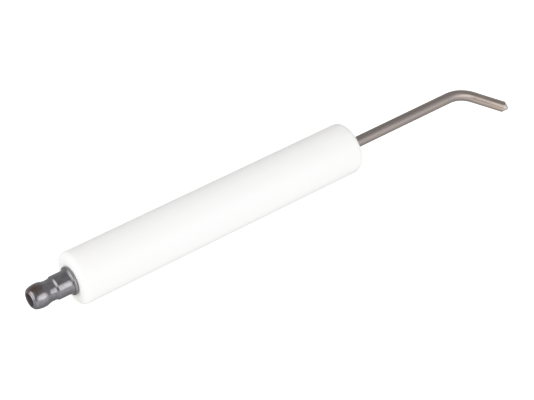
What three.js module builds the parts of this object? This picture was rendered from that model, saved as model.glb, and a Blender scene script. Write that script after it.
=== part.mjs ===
// Ignition electrode for a gas or oil burner: a glazed ceramic tube that a clamp holds,
// a heat-resistant rod with a bent, ground tip, and a screwed ignition-lead terminal.
// Millimetres. +X runs along the ceramic to the tip, +Z is up, and the origin is the middle
// of the ceramic on its axis, where the burner's clamp grips it. The tip hangs to -Y and down.

import * as THREE from 'three';

const { degToRad } = THREE.MathUtils;

// Ceramic insulator
const CERAMIC_LENGTH = 86;
const CERAMIC_RADIUS = 7;
const REAR_EDGE_ROUND = 1.3;
const FRONT_EDGE_ROUND = 1.5;
const REAR_FACE = -CERAMIC_LENGTH / 2;
const FRONT_FACE = CERAMIC_LENGTH / 2;

// The ceramic's stepped bore: a pocket, a stud bore, a shoulder, then the wide front bore
const SEAL_POCKET_RADIUS = 3.0;
const SEAL_POCKET_DEPTH = 1.5;
const STUD_BORE_RADIUS = 2.2;
const FRONT_BORE_RADIUS = 3.2;
const SHOULDER = REAR_FACE + 12;

// M4 x 0.7 thread, as plain cylinders: the stud at its crests, the nut with running clearance
const THREAD_MAJOR_RADIUS = 1.97;
const THREAD_MINOR_RADIUS = 1.65;
const RUNNING_CLEARANCE = 0.06;

// Electrode rod: 3 mm wire, one bend, a ground point with a small blunt end
const ROD_RADIUS = 1.5;
const ROD_STICK_OUT = 39.3; // ceramic's front face to the corner of the bend's centre line
const LEG_LENGTH = 14.5; // that corner to the point
const BEND_ANGLE = degToRad(45);
const BEND_RADIUS = 10;
const BEND_DROP = degToRad(25); // how far the bent leg points below the horizontal
const POINT_LENGTH = 1.4;
const POINT_END_RADIUS = 0.5;

// Sleeve that joins the rod to the stud and bears on the bore's shoulder
const SLEEVE_LENGTH = 12;
const SLEEVE_RADIUS = 3.0;
const CRIMP_WIDTH = 1.6;
const CRIMP_DEPTH = 0.3;
const CRIMP_PLACES = [0.25, 0.75]; // shares of the sleeve's length, one over each end it joins

// Spring lock washer, the standard M4 size
const WASHER_THICKNESS = 0.9; // with the gaps to its neighbours
const WASHER_RADIUS = 3.8;
const WASHER_HOLE_RADIUS = 2.08;
const WASHER_SPLIT_WIDTH = 0.5;
const WASHER_SPLIT_TURN = degToRad(-130);
const WASHER_EDGE = 0.12;

// Terminal nut, by distance from its nose
const NUT_LENGTH = 10.8;
const NOSE_HOLE_CHAMFER = 0.15;
const NOSE_FLAT_RADIUS = 2.15;
const NOSE_CORNER = 0.25;
const NOSE_CORNER_RADIUS = 2.4;
const HEAD_CREST = 3.0;
const HEAD_RADIUS = 3.175;
const WAIST_START = 5.25;
const WAIST_END = 6.25;
const WAIST_RADIUS = 2.755;
const WAIST_END_RADIUS = 2.795;
const WAIST_DISH = 0.85; // length of the waist's gentle hollow
const CONE_BLEND = 0.3; // length over which the waist turns into the cone up to the collar
const COLLAR_START = 6.95;
const COLLAR_RADIUS = 3.13;
const COLLAR_STRAIGHT_END = 9.7;
const SKIRT_RADIUS = 3.42;
const THREADED_DEPTH = 3.1; // nose to where the stud's clearance bore ends
const STUD_SHORT_OF_BORE = 0.1;

const FIT_GAP = 0.05; // between pieces that touch or are bonded
const SEAM_GAP = 0.1; // cement to ceramic
const NUT_NOSE = REAR_FACE - WASHER_THICKNESS - NUT_LENGTH;
const STUD_END = NUT_NOSE + THREADED_DEPTH + STUD_SHORT_OF_BORE;
const SLEEVE_START = SHOULDER + FIT_GAP;
const SLEEVE_MIDDLE = SLEEVE_START + SLEEVE_LENGTH / 2;
const SLEEVE_END = SLEEVE_START + SLEEVE_LENGTH;

// Facets round a turned piece
const FINE = 48;
const MEDIUM = 36;
const COARSE = 24;
// Facets along a rounded edge, each curve of the nut's head, the rod's bend and the washer's rim
const EDGE_STEPS = 5;
const HEAD_STEPS = 7;
const BEND_STEPS = 14;
const WASHER_STEPS = 18;

const glaze = new THREE.MeshStandardMaterial({ color: 0xf1f0eb, roughness: 0.18, metalness: 0 });
const cement = new THREE.MeshStandardMaterial({ color: 0xd8d2c4, roughness: 0.9, metalness: 0 });
const wire = new THREE.MeshStandardMaterial({ color: 0x8b817b, roughness: 0.4, metalness: 1 });
const darkSteel = new THREE.MeshStandardMaterial({ color: 0x77767a, roughness: 0.32, metalness: 1 });
const springSteel = new THREE.MeshStandardMaterial({ color: 0x807f82, roughness: 0.35, metalness: 1 });
const zincSteel = new THREE.MeshStandardMaterial({ color: 0x9a9a9c, roughness: 0.4, metalness: 1 });

// A point of a turned profile: x along the axis, and a radius
const at = (x, radius) => new THREE.Vector2(radius, x);

// Points on an elliptical quarter from one profile point to another. The curve leaves the
// first point along the axis when alongFirst is true, and across it otherwise.
function quarter(from, to, alongFirst, steps) {
  const points = [];
  for (let i = 0; i <= steps; i += 1) {
    const turn = (i / steps) * (Math.PI / 2);
    const early = Math.sin(turn);
    const late = 1 - Math.cos(turn);
    const x = from.y + (to.y - from.y) * (alongFirst ? early : late);
    const radius = from.x + (to.x - from.x) * (alongFirst ? late : early);
    points.push(at(x, radius));
  }
  return points;
}

// Points on a smooth S from one profile point to another, level at both ends
function easing(from, to, steps) {
  const points = [];
  for (let i = 1; i <= steps; i += 1) {
    const share = i / steps;
    const rise = (1 - Math.cos(share * Math.PI)) / 2;
    points.push(at(from.y + (to.y - from.y) * share, from.x + (to.x - from.x) * rise));
  }
  return points;
}

// Points that bend away from the axis over a blend, then run straight to the second point
function upturn(from, to, blend, steps) {
  const slope = (to.x - from.x) / (to.y - from.y - blend / 2);
  const points = [];
  for (let i = 1; i <= steps; i += 1) {
    const onward = (blend * i) / steps;
    points.push(at(from.y + onward, from.x + (slope * onward ** 2) / blend / 2));
  }
  points.push(to);
  return points;
}

// A turned solid about the X axis. The outside of the profile runs towards +X.
function turned(profile, segments) {
  const geometry = new THREE.LatheGeometry(profile, segments);
  geometry.rotateZ(-Math.PI / 2);
  return geometry;
}

// A turned ring, whose profile closes on itself
function turnedRing(profile, segments) {
  return turned([...profile, profile[0].clone()], segments);
}

function named(name, geometry, material) {
  const mesh = new THREE.Mesh(geometry, material);
  mesh.name = name;
  return mesh;
}

function ceramicInsulator() {
  const rearRound = quarter(
    at(REAR_FACE, CERAMIC_RADIUS - REAR_EDGE_ROUND),
    at(REAR_FACE + REAR_EDGE_ROUND, CERAMIC_RADIUS), false, EDGE_STEPS);
  const frontRound = quarter(
    at(FRONT_FACE - FRONT_EDGE_ROUND, CERAMIC_RADIUS),
    at(FRONT_FACE, CERAMIC_RADIUS - FRONT_EDGE_ROUND), true, EDGE_STEPS);
  const pocketFloor = REAR_FACE + SEAL_POCKET_DEPTH;
  const profile = [
    at(REAR_FACE, SEAL_POCKET_RADIUS),
    ...rearRound,
    ...frontRound,
    at(FRONT_FACE, FRONT_BORE_RADIUS),
    at(SHOULDER, FRONT_BORE_RADIUS),
    at(SHOULDER, STUD_BORE_RADIUS),
    at(pocketFloor, STUD_BORE_RADIUS),
    at(pocketFloor, SEAL_POCKET_RADIUS),
  ];
  return named('ceramic_insulator', turnedRing(profile, FINE), glaze);
}

// Bends a straight rod on the X axis towards -Y, starting at bendStart
function bendAlong(geometry, bendStart) {
  const position = geometry.attributes.position;
  const arcLength = BEND_RADIUS * BEND_ANGLE;
  for (let i = 0; i < position.count; i += 1) {
    const along = position.getX(i) - bendStart;
    if (along <= 0) continue;
    const offset = position.getY(i);
    const turn = Math.min(along / BEND_RADIUS, BEND_ANGLE);
    const past = Math.max(along - arcLength, 0);
    const x = bendStart + BEND_RADIUS * Math.sin(turn) + past * Math.cos(turn) + offset * Math.sin(turn);
    const y = -BEND_RADIUS * (1 - Math.cos(turn)) - past * Math.sin(turn) + offset * Math.cos(turn);
    position.setXY(i, x, y);
  }
}

function electrodeRod() {
  const start = SLEEVE_MIDDLE + FIT_GAP;
  const cornerSetback = BEND_RADIUS * Math.tan(BEND_ANGLE / 2);
  const bendStart = FRONT_FACE + ROD_STICK_OUT - cornerSetback;
  const arcLength = BEND_RADIUS * BEND_ANGLE;
  const bendEnd = bendStart + arcLength;
  const tip = bendEnd + LEG_LENGTH - cornerSetback;
  const endChamfer = 0.3;
  const profile = [
    at(start, 0),
    at(start, ROD_RADIUS - endChamfer),
    at(start + endChamfer, ROD_RADIUS),
  ];
  for (let i = 0; i <= BEND_STEPS; i += 1) {
    profile.push(at(bendStart + (arcLength * i) / BEND_STEPS, ROD_RADIUS));
  }
  profile.push(
    at(tip - POINT_LENGTH, ROD_RADIUS),
    at(tip - POINT_END_RADIUS / 2, POINT_END_RADIUS),
    at(tip, POINT_END_RADIUS / 2),
    at(tip, 0),
  );
  const geometry = turned(profile, COARSE);
  bendAlong(geometry, bendStart);
  const rod = named('electrode_rod', geometry, wire);
  rod.rotation.x = BEND_DROP;
  return rod;
}

function connectionStud() {
  const front = SLEEVE_MIDDLE - FIT_GAP;
  const chamfer = 0.4;
  const profile = [
    at(STUD_END, 0),
    at(STUD_END, THREAD_MAJOR_RADIUS - chamfer),
    at(STUD_END + chamfer, THREAD_MAJOR_RADIUS),
    at(front - chamfer, THREAD_MAJOR_RADIUS),
    at(front, THREAD_MAJOR_RADIUS - chamfer),
    at(front, 0),
  ];
  return named('connection_stud', turned(profile, COARSE), zincSteel);
}

function couplingSleeve() {
  const outside = [at(SLEEVE_START, SLEEVE_RADIUS)];
  for (const share of CRIMP_PLACES) {
    const middle = SLEEVE_START + SLEEVE_LENGTH * share;
    outside.push(
      at(middle - CRIMP_WIDTH / 2, SLEEVE_RADIUS),
      at(middle - CRIMP_WIDTH / 4, SLEEVE_RADIUS - CRIMP_DEPTH),
      at(middle + CRIMP_WIDTH / 4, SLEEVE_RADIUS - CRIMP_DEPTH),
      at(middle + CRIMP_WIDTH / 2, SLEEVE_RADIUS),
    );
  }
  const profile = [
    ...outside,
    at(SLEEVE_END, SLEEVE_RADIUS),
    at(SLEEVE_END, ROD_RADIUS + FIT_GAP),
    at(SLEEVE_MIDDLE, ROD_RADIUS + FIT_GAP),
    at(SLEEVE_MIDDLE, THREAD_MAJOR_RADIUS + FIT_GAP),
    at(SLEEVE_START, THREAD_MAJOR_RADIUS + FIT_GAP),
  ];
  return named('coupling_sleeve', turnedRing(profile, COARSE), zincSteel);
}

// Cement that centres the rod in the front bore, a little hollow at its open face
function frontSeal() {
  const length = 8;
  const open = FRONT_FACE - SEAM_GAP;
  const hollow = 0.25;
  const profile = [
    at(open - length, FRONT_BORE_RADIUS - SEAM_GAP),
    at(open, FRONT_BORE_RADIUS - SEAM_GAP),
    at(open - hollow, (FRONT_BORE_RADIUS + ROD_RADIUS) / 2),
    at(open, ROD_RADIUS + FIT_GAP),
    at(open - length, ROD_RADIUS + FIT_GAP),
  ];
  return named('front_seal', turnedRing(profile, COARSE), cement);
}

function rearSeal() {
  const start = REAR_FACE + SEAM_GAP;
  const end = REAR_FACE + SEAL_POCKET_DEPTH - SEAM_GAP;
  const profile = [
    at(start, SEAL_POCKET_RADIUS - SEAM_GAP),
    at(end, SEAL_POCKET_RADIUS - SEAM_GAP),
    at(end, THREAD_MAJOR_RADIUS + SEAM_GAP),
    at(start, THREAD_MAJOR_RADIUS + SEAM_GAP),
  ];
  return named('rear_seal', turnedRing(profile, COARSE), cement);
}

// A flat ring with one radial split, pressed flat between the nut and the ceramic
function lockWasher() {
  const outerRadius = WASHER_RADIUS - WASHER_EDGE;
  const innerRadius = WASHER_HOLE_RADIUS + WASHER_EDGE;
  const halfSplit = WASHER_SPLIT_WIDTH / 2 + WASHER_EDGE;
  const outerStart = Math.asin(halfSplit / outerRadius);
  const innerStart = Math.asin(halfSplit / innerRadius);
  const outline = new THREE.Shape();
  outline.absarc(0, 0, outerRadius, outerStart, 2 * Math.PI - outerStart, false);
  outline.absarc(0, 0, innerRadius, 2 * Math.PI - innerStart, innerStart, true);
  const geometry = new THREE.ExtrudeGeometry(outline, {
    depth: WASHER_THICKNESS - 2 * (WASHER_EDGE + FIT_GAP),
    curveSegments: WASHER_STEPS,
    bevelEnabled: true,
    bevelThickness: WASHER_EDGE,
    bevelSize: WASHER_EDGE,
    bevelSegments: 1,
  });
  geometry.rotateZ(WASHER_SPLIT_TURN);
  geometry.rotateY(Math.PI / 2);
  geometry.translate(REAR_FACE - WASHER_THICKNESS + WASHER_EDGE + FIT_GAP, 0, 0);
  return named('lock_washer', geometry, springSteel);
}

// Standard 6.35 mm ignition terminal that screws on the stud and clamps the washer
function terminalNut() {
  const fromNose = (distance, radius) => at(NUT_NOSE + distance, radius);
  const boreRadius = THREAD_MAJOR_RADIUS + RUNNING_CLEARANCE;
  const noseCorner = fromNose(NOSE_CORNER, NOSE_CORNER_RADIUS);
  const headCrest = fromNose(HEAD_CREST, HEAD_RADIUS);
  const waistStart = fromNose(WAIST_START, WAIST_RADIUS);
  const waistEnd = fromNose(WAIST_END, WAIST_END_RADIUS);
  const collarEdge = fromNose(COLLAR_START, COLLAR_RADIUS);
  const flareStart = fromNose(COLLAR_STRAIGHT_END, COLLAR_RADIUS);
  const profile = [
    fromNose(NOSE_HOLE_CHAMFER, THREAD_MINOR_RADIUS),
    fromNose(0, THREAD_MINOR_RADIUS + NOSE_HOLE_CHAMFER),
    fromNose(0, NOSE_FLAT_RADIUS),
    ...quarter(noseCorner, headCrest, false, HEAD_STEPS),
    ...easing(headCrest, waistStart, HEAD_STEPS),
    ...upturn(waistStart, waistEnd, WAIST_DISH, EDGE_STEPS),
    ...upturn(waistEnd, collarEdge, CONE_BLEND, EDGE_STEPS),
    ...quarter(flareStart, fromNose(NUT_LENGTH - FIT_GAP, SKIRT_RADIUS), true, EDGE_STEPS),
    fromNose(NUT_LENGTH - FIT_GAP, boreRadius),
    fromNose(THREADED_DEPTH, boreRadius),
    fromNose(THREADED_DEPTH, THREAD_MINOR_RADIUS),
  ];
  return named('terminal_nut', turnedRing(profile, MEDIUM), darkSteel);
}

const electrode = new THREE.Group();
electrode.add(
  ceramicInsulator(),
  electrodeRod(),
  connectionStud(),
  couplingSleeve(),
  frontSeal(),
  rearSeal(),
  lockWasher(),
  terminalNut(),
);

export default electrode;
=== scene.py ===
"""Looks for a burner's ignition electrode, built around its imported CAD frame.

Lengths are in millimetres here and become metres where a mesh is made. +X runs along the
ceramic to the spark tip and +Z is up. Every piece stands where its CAD node stands.
"""

import math

import bmesh
import bpy
from mathutils import Matrix, Vector, noise


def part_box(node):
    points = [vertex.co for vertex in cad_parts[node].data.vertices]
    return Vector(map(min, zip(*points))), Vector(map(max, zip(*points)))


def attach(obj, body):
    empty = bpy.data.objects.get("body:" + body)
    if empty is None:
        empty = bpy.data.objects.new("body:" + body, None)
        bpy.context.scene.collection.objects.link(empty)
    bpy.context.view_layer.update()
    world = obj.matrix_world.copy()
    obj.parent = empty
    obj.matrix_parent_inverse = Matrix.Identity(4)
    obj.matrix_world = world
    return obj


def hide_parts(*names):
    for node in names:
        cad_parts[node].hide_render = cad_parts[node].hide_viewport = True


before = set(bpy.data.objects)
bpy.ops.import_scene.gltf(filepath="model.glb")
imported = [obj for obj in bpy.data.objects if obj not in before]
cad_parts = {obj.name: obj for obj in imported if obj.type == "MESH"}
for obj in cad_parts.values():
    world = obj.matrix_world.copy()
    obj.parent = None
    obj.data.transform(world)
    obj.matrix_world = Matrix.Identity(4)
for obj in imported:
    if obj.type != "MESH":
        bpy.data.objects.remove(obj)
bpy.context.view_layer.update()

MM = 0.001
TURN = 2 * math.pi
MERGE_DISTANCE = 1e-4
SLIVER_LENGTH = 1e-5


def node_box(node):
    """A CAD node's lowest and highest corners, in millimetres."""
    low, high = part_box(node)
    return low / MM, high / MM


# Ceramic: its outside comes from the frame, its stepped bore is the CAD model's
CERAMIC_LOW, CERAMIC_HIGH = node_box("ceramic_insulator")
REAR_FACE = CERAMIC_LOW.x
FRONT_FACE = CERAMIC_HIGH.x
CERAMIC_RADIUS = CERAMIC_HIGH.z
REAR_EDGE_ROUND = 1.3
FRONT_EDGE_ROUND = 1.5
SEAL_POCKET_RADIUS = 3.0
SEAL_POCKET_DEPTH = 1.5
STUD_BORE_RADIUS = 2.2
FRONT_BORE_RADIUS = 3.2
SHOULDER = REAR_FACE + 12
BORE_EDGE_ROUND = 0.2
GLAZE_THINS = 0.12  # distances from the end faces where the glaze starts to thin and where it stops
GLAZE_STOPS = 0.02

# Electrode rod
ROD_START = node_box("electrode_rod")[0].x
ROD_RADIUS = 1.5
ROD_STICK_OUT = 39.3
LEG_LENGTH = 14.5
BEND_ANGLE = math.radians(45)
BEND_RADIUS = 10
BEND_DROP = math.radians(25)
BEND_SETBACK = BEND_RADIUS * math.tan(BEND_ANGLE / 2)
BEND_START = FRONT_FACE + ROD_STICK_OUT - BEND_SETBACK
BEND_LENGTH = BEND_RADIUS * BEND_ANGLE
ROD_TIP = BEND_START + BEND_LENGTH + LEG_LENGTH - BEND_SETBACK
POINT_LENGTH = 1.4
POINT_END_RADIUS = 0.5
POINT_ROUND = 0.2
GROUND_EDGE_ROUND = 0.12
ROD_START_ROUND = 0.3
BEND_FLATTENING = 0.02  # share by which the bend is wider and thinner than the straight rod
BEND_STEPS = 40
WARM_AND_LIT_BY = 14  # lengths past the bend's start by which the oxide is warmer and painted lighter, partly a painted highlight on the leg, and the surface smoother
SMOOTH_BY = 8
GROUND_UNEVENNESS = 0.25
GROUND_BLEND = 0.22

# M4 thread: the stud's roots and crests, and the nut's clearance over both
THREAD_PITCH = 0.7
THREAD_ROOT = 1.59
THREAD_CREST = 1.965
THREAD_CLEARANCE = 0.05

# One pitch of the thread: share of the pitch, and height from root to crest
THREAD_SHAPE = ((0.0, 0.0), (0.12, 0.0), (0.18, 0.08), (0.42, 0.94), (0.47, 1.0),
                (0.57, 1.0), (0.62, 0.94), (0.86, 0.08), (0.92, 0.0))

# Stud, sleeve and seals
STUD_LOW, STUD_HIGH = node_box("connection_stud")
STUD_CHAMFER = 0.4
SLEEVE_LOW, SLEEVE_HIGH = node_box("coupling_sleeve")
SLEEVE_MIDDLE = (SLEEVE_LOW.x + SLEEVE_HIGH.x) / 2
SLEEVE_EDGE = 0.25
CRIMP_PLACES = (0.25, 0.75)  # shares of the sleeve's length
CRIMP_WIDTH = 2.0
CRIMP_REACH = 1.4  # length of sleeve that a crimp shapes, in crimp widths
CRIMP_DEPTH = 0.4
CRIMP_FLATS = 6
CRIMP_ALL_ROUND = 0.55  # share of the depth that is pressed evenly, between the flats too
FRONT_SEAL_LOW, FRONT_SEAL_HIGH = node_box("front_seal")
REAR_SEAL_LOW, REAR_SEAL_HIGH = node_box("rear_seal")
CEMENT_HOLLOW = 0.28
CEMENT_FULLNESS = 0.7  # below 1, so the hollow is flatter in its middle
SAND_GRAINS = ((2.2, 0.10), (6.0, 0.05))  # grains to a millimetre, and their height
FIT_GAP = 0.05

# Lock washer
WASHER_LOW, WASHER_HIGH = node_box("lock_washer")
WASHER_RADIUS = 3.8
WASHER_HOLE_RADIUS = 2.08
WASHER_SWELL = 0.08  # how far its front stands beyond the CAD washer's, a hair short of the nut
WASHER_FRONT = WASHER_LOW.x - WASHER_SWELL
WASHER_ROLLED_EDGE = 0.4
WASHER_EDGE = 0.12
WASHER_SPLIT_WIDTH = 0.5
WASHER_SPLIT_TURN = math.radians(-130)  # from the top, towards +Y

# Terminal nut, by distance from its nose
NUT_NOSE = node_box("terminal_nut")[0].x
NUT_BASE = node_box("terminal_nut")[1].x - NUT_NOSE
NOSE_HOLE_RADIUS = 1.72
NOSE_HOLE_DEPTH = 1.8  # plain, before the thread starts
NOSE_HOLE_ROUND = 0.12
NOSE_FLAT_RADIUS = 2.15
NOSE_FLAT_ROUND = 0.28
NOSE_CORNER = 0.25
NOSE_CORNER_RADIUS = 2.4
HEAD_CREST = 3.0
HEAD_RADIUS = 3.175
WAIST_START = 5.25
WAIST_END = 6.25
WAIST_RADIUS = 2.755
WAIST_END_RADIUS = 2.795
WAIST_DISH = 0.85  # length of the waist's gentle hollow
CONE_BLEND = 0.3  # length over which the waist turns into the cone up to the collar
COLLAR_START = 6.95
COLLAR_STRAIGHT_END = 9.7
COLLAR_RADIUS = 3.13
SKIRT_RADIUS = 3.42
BORE_CHAMFER = 0.3
BORE_MOUTH_RADIUS = THREAD_CREST + 0.35
BORE_SEAM = 0.02  # between the thread's ends and the rings that they join
# Radius inside which the terminal's bore is painted dark as shade, and the width of that shade's soft
# edge
SHADED_BORE_RADIUS = 2.0
BORE_SHADE_EDGE = 0.15

# The brown stain on top of the terminal's nose
STAIN_MIDDLE = (NUT_NOSE + 1.7, -0.2, 2.8)
STAIN_CORE = 0.5
STAIN_REACH = 2.3
STAIN_UNEVENNESS = 0.6


# ---------------------------------------------------------------- profiles

def rounded(corners, steps=6):
    """A closed profile with an arc at each corner, from corners of (x, radius, rounding)."""
    points = []
    for i, (x, radius, rounding) in enumerate(corners):
        here = Vector((x, radius))
        if not rounding:
            points.append(here)
            continue
        before = Vector(corners[i - 1][:2])
        after = Vector(corners[(i + 1) % len(corners)][:2])
        into = (here - before).normalized()
        out = (after - here).normalized()
        turn = math.atan2(into.cross(out), into.dot(out))
        side = Vector((-into.y, into.x)) * math.copysign(rounding, turn)
        centre = here - into * rounding * math.tan(abs(turn) / 2) + side
        for step in range(steps + 1):
            points.append(centre + Matrix.Rotation(turn * step / steps, 2) @ -side)
    return points


def quarter(start, end, steps):
    """Points on an elliptical quarter that leaves start across the axis and meets end along it."""
    points = []
    for step in range(steps + 1):
        turn = step / steps * math.pi / 2
        x = start[0] + (end[0] - start[0]) * (1 - math.cos(turn))
        points.append(Vector((x, start[1] + (end[1] - start[1]) * math.sin(turn))))
    return points


def hollow(start, end, steps):
    """Points on an elliptical quarter that leaves start along the axis and meets end across it."""
    return quarter(end, start, steps)[::-1]


def upturn(start, end, blend, steps):
    """Points that bend away from the axis over a blend, then run straight to end.

    Its first point is left out.
    """
    slope = (end[1] - start[1]) / (end[0] - start[0] - blend / 2)
    points = []
    for step in range(1, steps + 1):
        onward = blend * step / steps
        points.append(Vector((start[0] + onward, start[1] + slope * onward ** 2 / blend / 2)))
    return points + [end]


def easing(start, end, steps):
    """Points on a smooth S, level at both ends, without its first point."""
    points = []
    for step in range(1, steps + 1):
        share = step / steps
        rise = (1 - math.cos(share * math.pi)) / 2
        points.append(Vector((start[0] + (end[0] - start[0]) * share,
                              start[1] + (end[1] - start[1]) * rise)))
    return points


# ---------------------------------------------------------------- meshes

class Skin:
    """A mesh grown from rings of points about the X axis."""

    def __init__(self, segments):
        self.bm = bmesh.new()
        self.segments = segments

    def point(self, x, radius, turn):
        return self.bm.verts.new((x, radius * math.cos(turn), radius * math.sin(turn)))

    def ring(self, x, radius):
        """A ring whose radius is a number, or a function of the angle."""
        turns = [TURN * i / self.segments for i in range(self.segments)]
        size = radius if callable(radius) else lambda turn: radius
        return [self.point(x, size(turn), turn) for turn in turns]

    def bridge(self, first, second):
        for i in range(self.segments):
            j = (i + 1) % self.segments
            self.bm.faces.new((first[i], first[j], second[j], second[i]))

    def rings(self, profile):
        """Rings through a profile's points, joined one to the next; gives the first and last."""
        made = [self.ring(x, radius) for x, radius in profile]
        for first, second in zip(made, made[1:]):
            self.bridge(first, second)
        return made[0], made[-1]

    def cap(self, ring):
        self.bm.faces.new(ring)

    def close_to_axis(self, ring, x):
        centre = self.bm.verts.new((x, 0, 0))
        for i in range(self.segments):
            self.bm.faces.new((ring[i], ring[(i + 1) % self.segments], centre))

    def thread(self, start, end, clearance, trim):
        """A right-hand thread between two places, in step with every other thread here.

        Its rows follow the helix, so each row's last point meets the row one pitch on. Rows
        that would pass an end are held at it. trim(x, radius) cuts the end chamfers.
        """
        rows = []
        first = math.floor(start / THREAD_PITCH) - 1
        last = math.ceil(end / THREAD_PITCH) + 1
        for pitch in range(first, last):
            for share, _ in THREAD_SHAPE:
                row = []
                for i in range(self.segments):
                    lead = i / self.segments
                    x = min(max((pitch + share + lead) * THREAD_PITCH, start), end)
                    radius = thread_radius(x / THREAD_PITCH - lead) + clearance
                    row.append(self.point(x, trim(x, radius), TURN * lead))
                rows.append(row)
        for i, row in enumerate(rows[:-1]):
            for j in range(self.segments - 1):
                self.bm.faces.new((row[j], row[j + 1], rows[i + 1][j + 1], rows[i + 1][j]))
            onward = i + len(THREAD_SHAPE)
            if onward + 1 < len(rows):
                self.bm.faces.new((row[-1], rows[onward][0], rows[onward + 1][0], rows[i + 1][-1]))
        return rows[0], rows[-1]

    def finish(self, name, material, sharp=40):
        """Makes the object, merged, facing outwards and smooth but for its sharp edges."""
        bmesh.ops.remove_doubles(self.bm, verts=self.bm.verts, dist=MERGE_DISTANCE)
        bmesh.ops.dissolve_degenerate(self.bm, edges=self.bm.edges, dist=SLIVER_LENGTH)
        bmesh.ops.recalc_face_normals(self.bm, faces=self.bm.faces)
        bmesh.ops.scale(self.bm, verts=self.bm.verts, vec=(MM, MM, MM))
        mesh = bpy.data.meshes.new(name)
        self.bm.to_mesh(mesh)
        self.bm.free()
        mesh.shade_smooth()
        mesh.set_sharp_from_angle(angle=math.radians(sharp))
        mesh.materials.append(material)
        piece = bpy.data.objects.new(name, mesh)
        bpy.context.scene.collection.objects.link(piece)
        return piece


def thread_radius(phase):
    """The stud's radius at a place in its thread, counted in pitches."""
    share = phase % 1
    shape = THREAD_SHAPE + ((1.0, 0.0),)
    for (low, low_height), (high, high_height) in zip(shape, shape[1:]):
        if share <= high:
            height = low_height + (high_height - low_height) * (share - low) / (high - low)
            return THREAD_ROOT + (THREAD_CREST - THREAD_ROOT) * height
    return THREAD_ROOT


def turned_ring(name, profile, segments, material):
    """A closed profile carried round the axis."""
    skin = Skin(segments)
    first, last = skin.rings(profile)
    skin.bridge(last, first)
    return skin.finish(name, material)


# ---------------------------------------------------------------- material nodes

class Nodes:
    """A node tree, with short names for what the materials and the room use."""

    def __init__(self, tree):
        self.tree = tree

    def add(self, kind, inputs=(), **settings):
        node = self.tree.nodes.new(kind)
        for key, value in settings.items():
            setattr(node, key, value)
        for key, value in dict(inputs).items():
            self.put(node.inputs[key], value)
        return node

    def put(self, socket, value):
        if isinstance(value, bpy.types.NodeSocket):
            self.tree.links.new(value, socket)
        else:
            socket.default_value = value

    def stretched(self, place, scale):
        """Coordinates that draw a pattern out along the axes where the scale is small."""
        node = self.add("ShaderNodeMapping", {"Vector": place, "Scale": scale})
        return node.outputs["Vector"]

    def noise(self, place, scale, detail=4.0, roughness=0.55):
        """Soft mottling. The scale counts its patches to a metre."""
        inputs = {"Vector": place, "Scale": scale, "Detail": detail, "Roughness": roughness}
        return self.add("ShaderNodeTexNoise", inputs).outputs["Fac"]

    def specks(self, place, scale):
        """Distance from the nearest of many scattered specks, so many to a metre."""
        node = self.add("ShaderNodeTexVoronoi", {"Vector": place, "Scale": scale})
        return node.outputs["Distance"]

    def along(self, place, axis):
        return self.add("ShaderNodeSeparateXYZ", {"Vector": place}).outputs[axis]

    def from_axis(self, place):
        """Distance from the X axis."""
        flat = self.stretched(place, (0, 1, 1))
        return self.add("ShaderNodeVectorMath", {0: flat}, operation="LENGTH").outputs["Value"]

    def distance(self, place, middle):
        """Distance from a point given in millimetres."""
        inputs = {0: place, 1: Vector(middle) * MM}
        return self.add("ShaderNodeVectorMath", inputs, operation="DISTANCE").outputs["Value"]

    def math(self, operation, *values):
        node = self.add("ShaderNodeMath", operation=operation)
        for socket, value in zip(node.inputs, values):
            self.put(socket, value)
        return node.outputs["Value"]

    def range(self, value, low, high, to_low=0.0, to_high=1.0, shape="LINEAR"):
        inputs = {"Value": value, "From Min": low, "From Max": high,
                  "To Min": to_low, "To Max": to_high}
        return self.add("ShaderNodeMapRange", inputs, interpolation_type=shape).outputs["Result"]

    def eased(self, value, low, high, to_low=0.0, to_high=1.0):
        return self.range(value, low, high, to_low, to_high, "SMOOTHSTEP")

    def mix(self, share, first, second):
        """A blend of two colours. The node numbers its colour sockets 6 and 7, and the result 2."""
        node = self.add("ShaderNodeMix", data_type="RGBA")
        self.put(node.inputs[0], share)
        self.put(node.inputs[6], first)
        self.put(node.inputs[7], second)
        return node.outputs[2]

    def bump(self, height, depth, strength=1.0):
        inputs = {"Height": height, "Distance": depth * MM, "Strength": strength}
        return self.add("ShaderNodeBump", inputs).outputs["Normal"]


class Shader(Nodes):
    """One material's nodes."""

    def __init__(self, name):
        self.material = bpy.data.materials.new(name)
        self.material.use_nodes = True
        super().__init__(self.material.node_tree)
        self.surface = self.tree.nodes["Principled BSDF"]

    def set(self, **values):
        for key, value in values.items():
            self.put(self.surface.inputs[key.replace("_", " ")], value)

    def place(self):
        """The piece's own coordinates, in metres."""
        return self.add("ShaderNodeTexCoord").outputs["Object"]

    def kept_place(self, attribute):
        """Coordinates that were kept on the mesh."""
        return self.add("ShaderNodeAttribute", attribute_name=attribute).outputs["Vector"]


def colour(red, green, blue):
    return (red, green, blue, 1.0)


# ---------------------------------------------------------------- materials

def glazed_ceramic():
    """White alumina under a clear glaze that stops short of the flat ends."""
    shader = Shader("glazed_ceramic")
    place = shader.place()
    from_middle = shader.math("ABSOLUTE", shader.along(place, "X"))
    thin = (FRONT_FACE - GLAZE_THINS) * MM
    stop = (FRONT_FACE - GLAZE_STOPS) * MM
    bare = shader.range(from_middle, thin, stop)
    ripple = shader.noise(place, 380, detail=2.0)
    towards_ends = shader.eased(from_middle, 10 * MM, FRONT_FACE * MM)
    middle = colour(0.925, 0.921, 0.905)
    ends = colour(0.918, 0.911, 0.890)
    shader.set(Base_Color=shader.mix(towards_ends, middle, ends), IOR=1.5,
               Roughness=shader.range(bare, 0, 1, 0.28, 0.6), Normal=shader.bump(ripple, 0.02, 0.3),
               Coat_Weight=0.2, Coat_Roughness=0.15,
               Subsurface_Weight=0.7, Subsurface_Scale=3.5 * MM, Subsurface_Radius=(1.0, 0.97, 0.92))
    return shader.material


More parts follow.
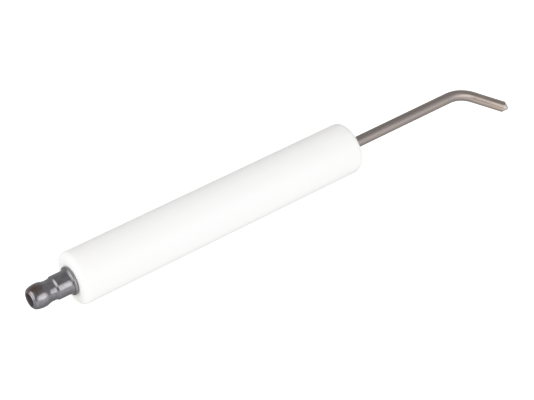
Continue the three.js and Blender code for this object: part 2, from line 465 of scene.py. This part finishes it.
def drawn_wire():
    """Heat-resistant wire: drawing lines along it, a brown oxide, and a freshly ground point. Past
    the bend the oxide is warmer and lighter; the extra lightness is a painted highlight on the leg.
    """
    shader = Shader("drawn_wire")
    place = shader.kept_place("straight")
    x = shader.along(place, "X")
    lines = shader.noise(shader.stretched(place, (0.03, 1, 1)), 2600, detail=3.0)
    patches = shader.noise(shader.stretched(place, (0.35, 1, 1)), 330)
    cool = shader.mix(lines, colour(0.262, 0.233, 0.222), colour(0.365, 0.328, 0.315))
    # past the bend: a warmer oxide, also painted lighter as a painted highlight for the leg
    warm_and_lit = shader.mix(lines, colour(0.420, 0.320, 0.250), colour(0.620, 0.520, 0.445))
    warm_lit_from = (BEND_START + WARM_AND_LIT_BY) * MM
    smooth_from = (BEND_START + SMOOTH_BY) * MM
    towards_tip = shader.range(x, BEND_START * MM, warm_lit_from, 0.1, 0.75)
    tinted = shader.math("MULTIPLY", towards_tip, shader.range(patches, 0.35, 0.65, 0.4, 1.4))
    oxide_and_sheen = shader.mix(tinted, cool, warm_and_lit)
    roughness = shader.eased(x, BEND_START * MM, smooth_from, 0.55, 0.25)
    edge = ROD_TIP - POINT_LENGTH
    ragged = shader.math("ADD", x, shader.math("MULTIPLY", patches, GROUND_UNEVENNESS * MM))
    ground = shader.range(ragged, edge * MM, (edge + GROUND_BLEND) * MM)
    bare_metal = colour(0.74, 0.71, 0.69)
    shader.set(Base_Color=shader.mix(ground, oxide_and_sheen, bare_metal),
               Roughness=shader.math("ADD", shader.range(lines, 0.3, 0.7, -0.05, 0.05), roughness),
               Normal=shader.bump(lines, 0.02, 0.5), Metallic=1.0)
    return shader.material


def turned_steel(name, dark, light, stain, bore=0.0):
    """Turned steel, tumbled: fine rings round the axis, mottling, and one stain on the nose.

    The stain's colour shows faintly elsewhere. With a bore's radius, what lies inside it gets a
    painted shade: it is coloured dark and made dull.
    """
    shader = Shader(name)
    place = shader.place()
    rings = shader.noise(shader.stretched(place, (1, 0.05, 0.05)), 5200, detail=3.0)
    mottle = shader.noise(place, 620, detail=6.0, roughness=0.65)
    base = shader.mix(shader.range(mottle, 0.3, 0.7), dark, light)
    uneven = STAIN_UNEVENNESS * MM
    ragged = shader.math("ADD", shader.distance(place, STAIN_MIDDLE),
                         shader.range(shader.noise(place, 700), 0.3, 0.7, -uneven, uneven))
    stained = shader.eased(ragged, STAIN_CORE * MM, STAIN_REACH * MM, 0.95, 0.08)
    finish = shader.mix(stained, base, stain)
    roughness = shader.range(mottle, 0.3, 0.7, 0.12, 0.19)
    if bore:
        outside = shader.range(shader.from_axis(place), bore * MM, (bore + BORE_SHADE_EDGE) * MM)
        # painted shade: the inside of the bore is coloured dark for the shade in the hole
        bore_shade = colour(0.20, 0.185, 0.198)
        finish = shader.mix(outside, bore_shade, finish)
        roughness = shader.math("MAXIMUM", roughness, shader.range(outside, 0, 1, 0.7, 0.0))
    height = shader.math("ADD", shader.math("MULTIPLY", rings, 0.4), mottle)
    shader.set(Base_Color=finish, Roughness=roughness, Metallic=1.0,
               Normal=shader.bump(height, 0.018, 0.5))
    return shader.material


def refractory_cement():
    """Matt cement with sand grains and pores."""
    shader = Shader("refractory_cement")
    place = shader.place()
    grains = shader.specks(place, 2600)
    clouds = shader.noise(place, 700, detail=6.0, roughness=0.7)
    paste = shader.mix(clouds, colour(0.62, 0.585, 0.52), colour(0.80, 0.775, 0.72))
    sand = colour(0.50, 0.46, 0.40)
    height = shader.math("ADD", grains, clouds)
    shader.set(Base_Color=shader.mix(shader.range(grains, 0.0, 0.3), sand, paste), Roughness=0.9,
               Normal=shader.bump(height, 0.09, 0.8))
    return shader.material


# ---------------------------------------------------------------- pieces

def ceramic_tube(material):
    pocket_floor = REAR_FACE + SEAL_POCKET_DEPTH
    profile = rounded([
        (REAR_FACE, SEAL_POCKET_RADIUS, BORE_EDGE_ROUND),
        (REAR_FACE, CERAMIC_RADIUS, REAR_EDGE_ROUND),
        (FRONT_FACE, CERAMIC_RADIUS, FRONT_EDGE_ROUND),
        (FRONT_FACE, FRONT_BORE_RADIUS, BORE_EDGE_ROUND),
        (SHOULDER, FRONT_BORE_RADIUS, 0),
        (SHOULDER, STUD_BORE_RADIUS, 0),
        (pocket_floor, STUD_BORE_RADIUS, 0),
        (pocket_floor, SEAL_POCKET_RADIUS, 0),
    ], steps=10)
    return turned_ring("ceramic_tube", profile, 160, material)


def bent(co):
    """Where a point of the straight rod goes when the rod is bent and its leg turned down."""
    x, y, z = co
    past_start = x - BEND_START
    if past_start > 0:
        turn = min(past_start / BEND_RADIUS, BEND_ANGLE)
        leg = max(past_start - BEND_LENGTH, 0)
        bulge = 1 + BEND_FLATTENING * math.sin(math.pi * turn / BEND_ANGLE)
        z *= bulge
        y /= bulge
        x = BEND_START + (BEND_RADIUS + y) * math.sin(turn) + leg * math.cos(turn)
        y = (BEND_RADIUS + y) * math.cos(turn) - BEND_RADIUS - leg * math.sin(turn)
    return Matrix.Rotation(BEND_DROP, 3, "X") @ Vector((x, y, z))


def electrode_wire(material):
    """The rod is made straight, each point keeps its straight place, and then it is bent."""
    profile = rounded([
        (ROD_START, 0, 0),
        (ROD_START, ROD_RADIUS, ROD_START_ROUND),
        (ROD_TIP - POINT_LENGTH, ROD_RADIUS, GROUND_EDGE_ROUND),
        (ROD_TIP - POINT_END_RADIUS / 2, POINT_END_RADIUS, POINT_ROUND),
        (ROD_TIP, POINT_END_RADIUS / 2, GROUND_EDGE_ROUND),
        (ROD_TIP, 0, 0),
    ], steps=4)
    bend = []
    for step in range(BEND_STEPS + 1):
        bend.append((BEND_START + BEND_LENGTH * step / BEND_STEPS, ROD_RADIUS))
    outside = [point for point in profile if point.y > 0]
    before = [point for point in outside if point.x < BEND_START]
    after = [point for point in outside if point.x > BEND_START + BEND_LENGTH]
    skin = Skin(segments=56)
    first, last = skin.rings(before + bend + after)
    skin.close_to_axis(first, ROD_START)
    skin.close_to_axis(last, ROD_TIP)
    rod = skin.finish("electrode_wire", material, sharp=50)
    straight = rod.data.attributes.new("straight", "FLOAT_VECTOR", "POINT")
    for vertex, kept in zip(rod.data.vertices, straight.data):
        kept.vector = vertex.co
        vertex.co = bent(vertex.co / MM) * MM
    return rod


def threaded_stud(material):
    def trim(x, radius):
        from_end = min(x - STUD_LOW.x, STUD_HIGH.x - x)
        return min(radius, THREAD_CREST - STUD_CHAMFER + from_end)

    skin = Skin(segments=48)
    first, last = skin.thread(STUD_LOW.x, STUD_HIGH.x, 0, trim)
    skin.close_to_axis(first, STUD_LOW.x)
    skin.close_to_axis(last, STUD_HIGH.x)
    return skin.finish("threaded_stud", material, sharp=25)


def crimped_sleeve(material):
    """A tube pressed six-sided in two bands, one over the stud and one over the rod."""
    outer = SLEEVE_HIGH.z
    rod_side = ROD_RADIUS + FIT_GAP
    stud_side = THREAD_CREST + FIT_GAP
    steps = 12
    steepness = 8

    def pressed(depth):
        flats = 1 - CRIMP_ALL_ROUND
        return lambda turn: outer - depth * (CRIMP_ALL_ROUND + flats * math.cos(CRIMP_FLATS * turn))

    rows = [(SLEEVE_LOW.x, outer - SLEEVE_EDGE), (SLEEVE_LOW.x + SLEEVE_EDGE, outer)]
    for share in CRIMP_PLACES:
        middle = SLEEVE_LOW.x + (SLEEVE_HIGH.x - SLEEVE_LOW.x) * share
        for step in range(steps + 1):
            offset = (step / steps - 0.5) * CRIMP_WIDTH * CRIMP_REACH
            depth = CRIMP_DEPTH / (1 + (2 * offset / CRIMP_WIDTH) ** steepness)
            rows.append((middle + offset, pressed(depth)))
    rows += [(SLEEVE_HIGH.x - SLEEVE_EDGE, outer), (SLEEVE_HIGH.x, outer - SLEEVE_EDGE),
             (SLEEVE_HIGH.x, rod_side), (SLEEVE_MIDDLE, rod_side),
             (SLEEVE_MIDDLE, stud_side), (SLEEVE_LOW.x, stud_side)]
    return turned_ring("crimped_sleeve", rows, 96, material)


def sand_height(place):
    """Height of a sandy surface: coarse grains with finer ones on them."""
    return sum(noise.noise(place * density) * height for density, height in SAND_GRAINS)


def cement_ring(name, low, high, inner, outer, face, material):
    """Cement filling the gap between two radii, with a hollow, uneven open face."""
    open_x = high if face > 0 else low
    back_x = low if face > 0 else high
    across = 12
    skin = Skin(segments=72)
    rows = [skin.ring(back_x, inner), skin.ring(back_x, outer)]
    for step in range(across + 1):
        share = step / across
        radius = outer + (inner - outer) * share
        middling = math.sin(math.pi * share)  # 0 at both edges of the ring, 1 half-way
        dip = CEMENT_HOLLOW * middling ** CEMENT_FULLNESS
        ring = skin.ring(open_x, radius)
        for vertex in ring:
            vertex.co.x -= face * (dip + abs(sand_height(vertex.co)) * middling)
        rows.append(ring)
    for first, second in zip(rows, rows[1:] + rows[:1]):
        skin.bridge(first, second)
    return skin.finish(name, material, sharp=60)


def lock_washer(material):
    """A split ring whose outer front edge is rolled round."""
    section = rounded([
        (WASHER_FRONT, WASHER_HOLE_RADIUS, WASHER_EDGE),
        (WASHER_FRONT, WASHER_RADIUS, WASHER_ROLLED_EDGE),
        (WASHER_HIGH.x, WASHER_RADIUS, WASHER_EDGE),
        (WASHER_HIGH.x, WASHER_HOLE_RADIUS, WASHER_EDGE),
    ], steps=7)
    skin = Skin(len(section))
    rows = []
    steps = 96
    for step in range(steps + 1):
        row = []
        for x, radius in section:
            gap = math.asin(WASHER_SPLIT_WIDTH / 2 / radius)
            turn = WASHER_SPLIT_TURN + gap + (TURN - 2 * gap) * step / steps
            row.append(skin.point(x, radius, TURN / 4 - turn))
        rows.append(row)
    for first, second in zip(rows, rows[1:]):
        skin.bridge(first, second)
    skin.cap(rows[0])
    skin.cap(rows[-1])
    return skin.finish("split_washer", material)


def terminal(material):
    """The 6.35 mm terminal, with a hole right through it: a plain mouth, then the M4 thread."""
    def at(distance, radius):
        return Vector((NUT_NOSE + distance, radius))

    nose = rounded([
        (NUT_NOSE + NOSE_HOLE_DEPTH, NOSE_HOLE_RADIUS, 0),
        (NUT_NOSE, NOSE_HOLE_RADIUS, NOSE_HOLE_ROUND),
        (NUT_NOSE, NOSE_FLAT_RADIUS, NOSE_FLAT_ROUND),
        (NUT_NOSE + NOSE_CORNER, NOSE_CORNER_RADIUS, 0),
    ])[:-1]
    head = quarter(at(NOSE_CORNER, NOSE_CORNER_RADIUS), at(HEAD_CREST, HEAD_RADIUS), steps=20)
    neck = easing(head[-1], at(WAIST_START, WAIST_RADIUS), steps=24)
    waist = upturn(neck[-1], at(WAIST_END, WAIST_END_RADIUS), WAIST_DISH, steps=6)
    cone = upturn(waist[-1], at(COLLAR_START, COLLAR_RADIUS), CONE_BLEND, steps=8)
    flare = hollow(at(COLLAR_STRAIGHT_END, COLLAR_RADIUS), at(NUT_BASE, SKIRT_RADIUS), steps=12)
    base = [at(NUT_BASE, BORE_MOUTH_RADIUS)]
    outside = nose + head + neck + waist + cone + flare + base
    bore_start = NUT_NOSE + NOSE_HOLE_DEPTH + BORE_SEAM
    bore_end = NUT_NOSE + NUT_BASE - BORE_SEAM

    def trim(x, radius):
        return max(radius, THREAD_CREST + BORE_CHAMFER - (bore_end - x))

    skin = Skin(segments=96)
    first, last = skin.rings(outside)
    bore_first, bore_last = skin.thread(bore_start, bore_end, THREAD_CLEARANCE, trim)
    skin.bridge(first, bore_first)
    skin.bridge(last, bore_last)
    return skin.finish("waisted_terminal", material, sharp=27)


def build_pieces():
    zinc = turned_steel("zinc_plate", dark=colour(0.50, 0.50, 0.51),
                        light=colour(0.62, 0.62, 0.63), stain=colour(0.42, 0.41, 0.38))
    dark_steel = turned_steel("terminal_steel", dark=colour(0.190, 0.188, 0.206),
                              light=colour(0.320, 0.314, 0.334), stain=colour(0.160, 0.116, 0.095),
                              bore=SHADED_BORE_RADIUS)
    spring = turned_steel("spring_steel", dark=colour(0.23, 0.226, 0.238),
                          light=colour(0.33, 0.325, 0.337), stain=colour(0.22, 0.205, 0.205))
    cement = refractory_cement()
    fixed = "insulator_and_rod"
    front = (FRONT_SEAL_LOW.x, FRONT_SEAL_HIGH.x, ROD_RADIUS + FIT_GAP, FRONT_SEAL_HIGH.z)
    rear = (REAR_SEAL_LOW.x, REAR_SEAL_HIGH.x, THREAD_CREST + 2 * FIT_GAP, REAR_SEAL_HIGH.z)
    made = (
        (ceramic_tube(glazed_ceramic()), fixed, "ceramic_insulator", "ceramic_glaze"),
        (electrode_wire(drawn_wire()), fixed, "electrode_rod", "heat_resistant_wire"),
        (threaded_stud(zinc), fixed, "connection_stud", "plated_steel"),
        (crimped_sleeve(zinc), fixed, "coupling_sleeve", "plated_steel"),
        (cement_ring("front_cement", *front, 1, cement), fixed, "front_seal", "cement"),
        (cement_ring("rear_cement", *rear, -1, cement), fixed, "rear_seal", "cement"),
        (lock_washer(spring), "washer", "lock_washer", "spring_steel"),
        (terminal(dark_steel), "nut", "terminal_nut", "terminal_steel"),
    )
    for piece, body, node, slot in made:
        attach(piece, body)
        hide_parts(node)


# ---------------------------------------------------------------- camera, floor and light

# The camera's direction and distance, and how far right of and above the origin it aims
CAMERA_AZIMUTH = math.radians(-36.54)
CAMERA_ELEVATION = math.radians(41.086)
CAMERA_DISTANCE = 429.7
AIM_RIGHT = 13.04
AIM_UP = 2.61
LENS = 113.85
SENSOR_WIDTH = 36
FLOOR_HALF = 4000

# The light that shows as pure white, and what lesser lights show as
WHITE_LIGHT = 1.25
TONES = ((0.25, 0.25), (0.5, 0.5), (0.65, 0.66), (0.78, 0.82), (0.92, 0.935), (1.07, 0.985))

# The room's soft light. Heights are sines of the angle above the horizon.
HORIZON_LIGHT = 0.68
OVERHEAD_LIGHT = 0.57
HORIZON_BLUR = 0.02
TABLE_FRONT = (-0.35, -0.937, 0.0)
TABLE_FRONT_LIGHT = 1.5
TABLE_BACK_LIGHT = 0.7
TABLE_BACK_FROM = -0.2  # cosine of the angle from the front where the table is at its dimmest
UNDERNEATH = 0.78  # share of the table's light that comes from straight below
UNDERNEATH_FULL = -0.9  # the height where it is down to that share
UNDERNEATH_EDGE = -0.2  # the height where it starts to fall
BACKDROP = 0.95  # the grey that the camera sees past the floor

# Two round softboxes: direction, strength, and the cosines at the edge and at full light
FRONT_BOX = ((0.227, -0.927, 0.296), 2.4, 0.77, 1.0)
LEFT_BOX = ((-0.902, 0.100, 0.420), 2.5, 0.68, 0.93)


def add_camera():
    """The camera looks at a point a little right of and above the ceramic's middle."""
    level = math.cos(CAMERA_ELEVATION)
    back = Vector((math.sin(CAMERA_AZIMUTH) * level, -math.cos(CAMERA_AZIMUTH) * level,
                   math.sin(CAMERA_ELEVATION)))
    right = Vector((0, 0, 1)).cross(back).normalized()
    up = back.cross(right)
    aim = right * AIM_RIGHT + up * AIM_UP
    data = bpy.data.cameras.new("camera")
    data.lens = LENS
    data.sensor_width = SENSOR_WIDTH
    camera = bpy.data.objects.new("camera", data)
    camera.location = (aim + back * CAMERA_DISTANCE) * MM
    camera.rotation_euler = back.to_track_quat("Z", "Y").to_euler()
    bpy.context.scene.collection.objects.link(camera)
    bpy.context.scene.camera = camera


def set_tone():
    """A camera's response: brightness is kept up to light grey, and whites roll off gently."""
    view = bpy.context.scene.view_settings
    view.view_transform = "Standard"
    view.use_curve_mapping = True
    tones = view.curve_mapping
    tones.clip_max_x = WHITE_LIGHT
    response = tones.curves[3]  # the one over all three colours
    response.points[-1].location = (WHITE_LIGHT, 1.0)
    for light, shown in TONES:
        response.points.new(light, shown)
    tones.update()


def add_floor():
    """A plain white table. The room lights the electrode from below it as well."""
    half = FLOOR_HALF * MM
    level = -CERAMIC_RADIUS * MM
    mesh = bpy.data.meshes.new("floor")
    corners = [(x, y, level) for x, y in ((-half, -half), (half, -half), (half, half), (-half, half))]
    mesh.from_pydata(corners, [], [(0, 1, 2, 3)])
    shader = Shader("floor")
    shader.set(Base_Color=colour(0, 0, 0), Roughness=1.0, Specular_IOR_Level=0.0,
               Emission_Color=colour(1, 1, 1), Emission_Strength=WHITE_LIGHT)
    mesh.materials.append(shader.material)
    floor = bpy.data.objects.new("floor", mesh)
    floor.visible_diffuse = False
    floor.visible_glossy = False
    floor.visible_transmission = False
    floor.visible_shadow = False
    bpy.context.scene.collection.objects.link(floor)


def facing(room, direction, towards):
    """The cosine between a ray's direction and another one."""
    node = room.add("ShaderNodeVectorMath", {0: direction, 1: towards}, operation="DOT_PRODUCT")
    return node.outputs["Value"]


def softbox(room, direction, towards, strength, edge, full):
    """A round light that fades from its full strength near the middle to nothing at its edge."""
    return room.eased(facing(room, direction, towards), edge, full, 0.0, strength)


def add_room():
    """Soft light from all round, with one softbox low in front and a wide one to the left."""
    world = bpy.data.worlds.new("room")
    world.use_nodes = True
    world.node_tree.nodes.clear()
    room = Nodes(world.node_tree)
    direction = room.add("ShaderNodeTexCoord").outputs["Generated"]
    height = room.along(direction, "Z")
    above = room.eased(height, 0.0, 1.0, HORIZON_LIGHT, OVERHEAD_LIGHT)
    for box in (FRONT_BOX, LEFT_BOX):
        above = room.math("ADD", above, softbox(room, direction, *box))
    table = room.eased(facing(room, direction, TABLE_FRONT), TABLE_BACK_FROM, 1,
                       TABLE_BACK_LIGHT, TABLE_FRONT_LIGHT)
    dimmed = room.eased(height, UNDERNEATH_FULL, UNDERNEATH_EDGE, UNDERNEATH, 1.0)
    below = room.math("MULTIPLY", table, dimmed)
    strength = room.range(height, -HORIZON_BLUR, HORIZON_BLUR, below, above)
    light = room.add("ShaderNodeBackground", {"Strength": strength})
    backdrop = room.add("ShaderNodeBackground", {"Color": colour(BACKDROP, BACKDROP, BACKDROP)})
    seen = room.add("ShaderNodeLightPath").outputs["Is Camera Ray"]
    choose = room.add("ShaderNodeMixShader", {0: seen, 1: light.outputs["Background"],
                                              2: backdrop.outputs["Background"]})
    room.add("ShaderNodeOutputWorld", {"Surface": choose.outputs["Shader"]})
    bpy.context.scene.world = world


set_tone()
add_camera()
add_floor()
add_room()
build_pieces()
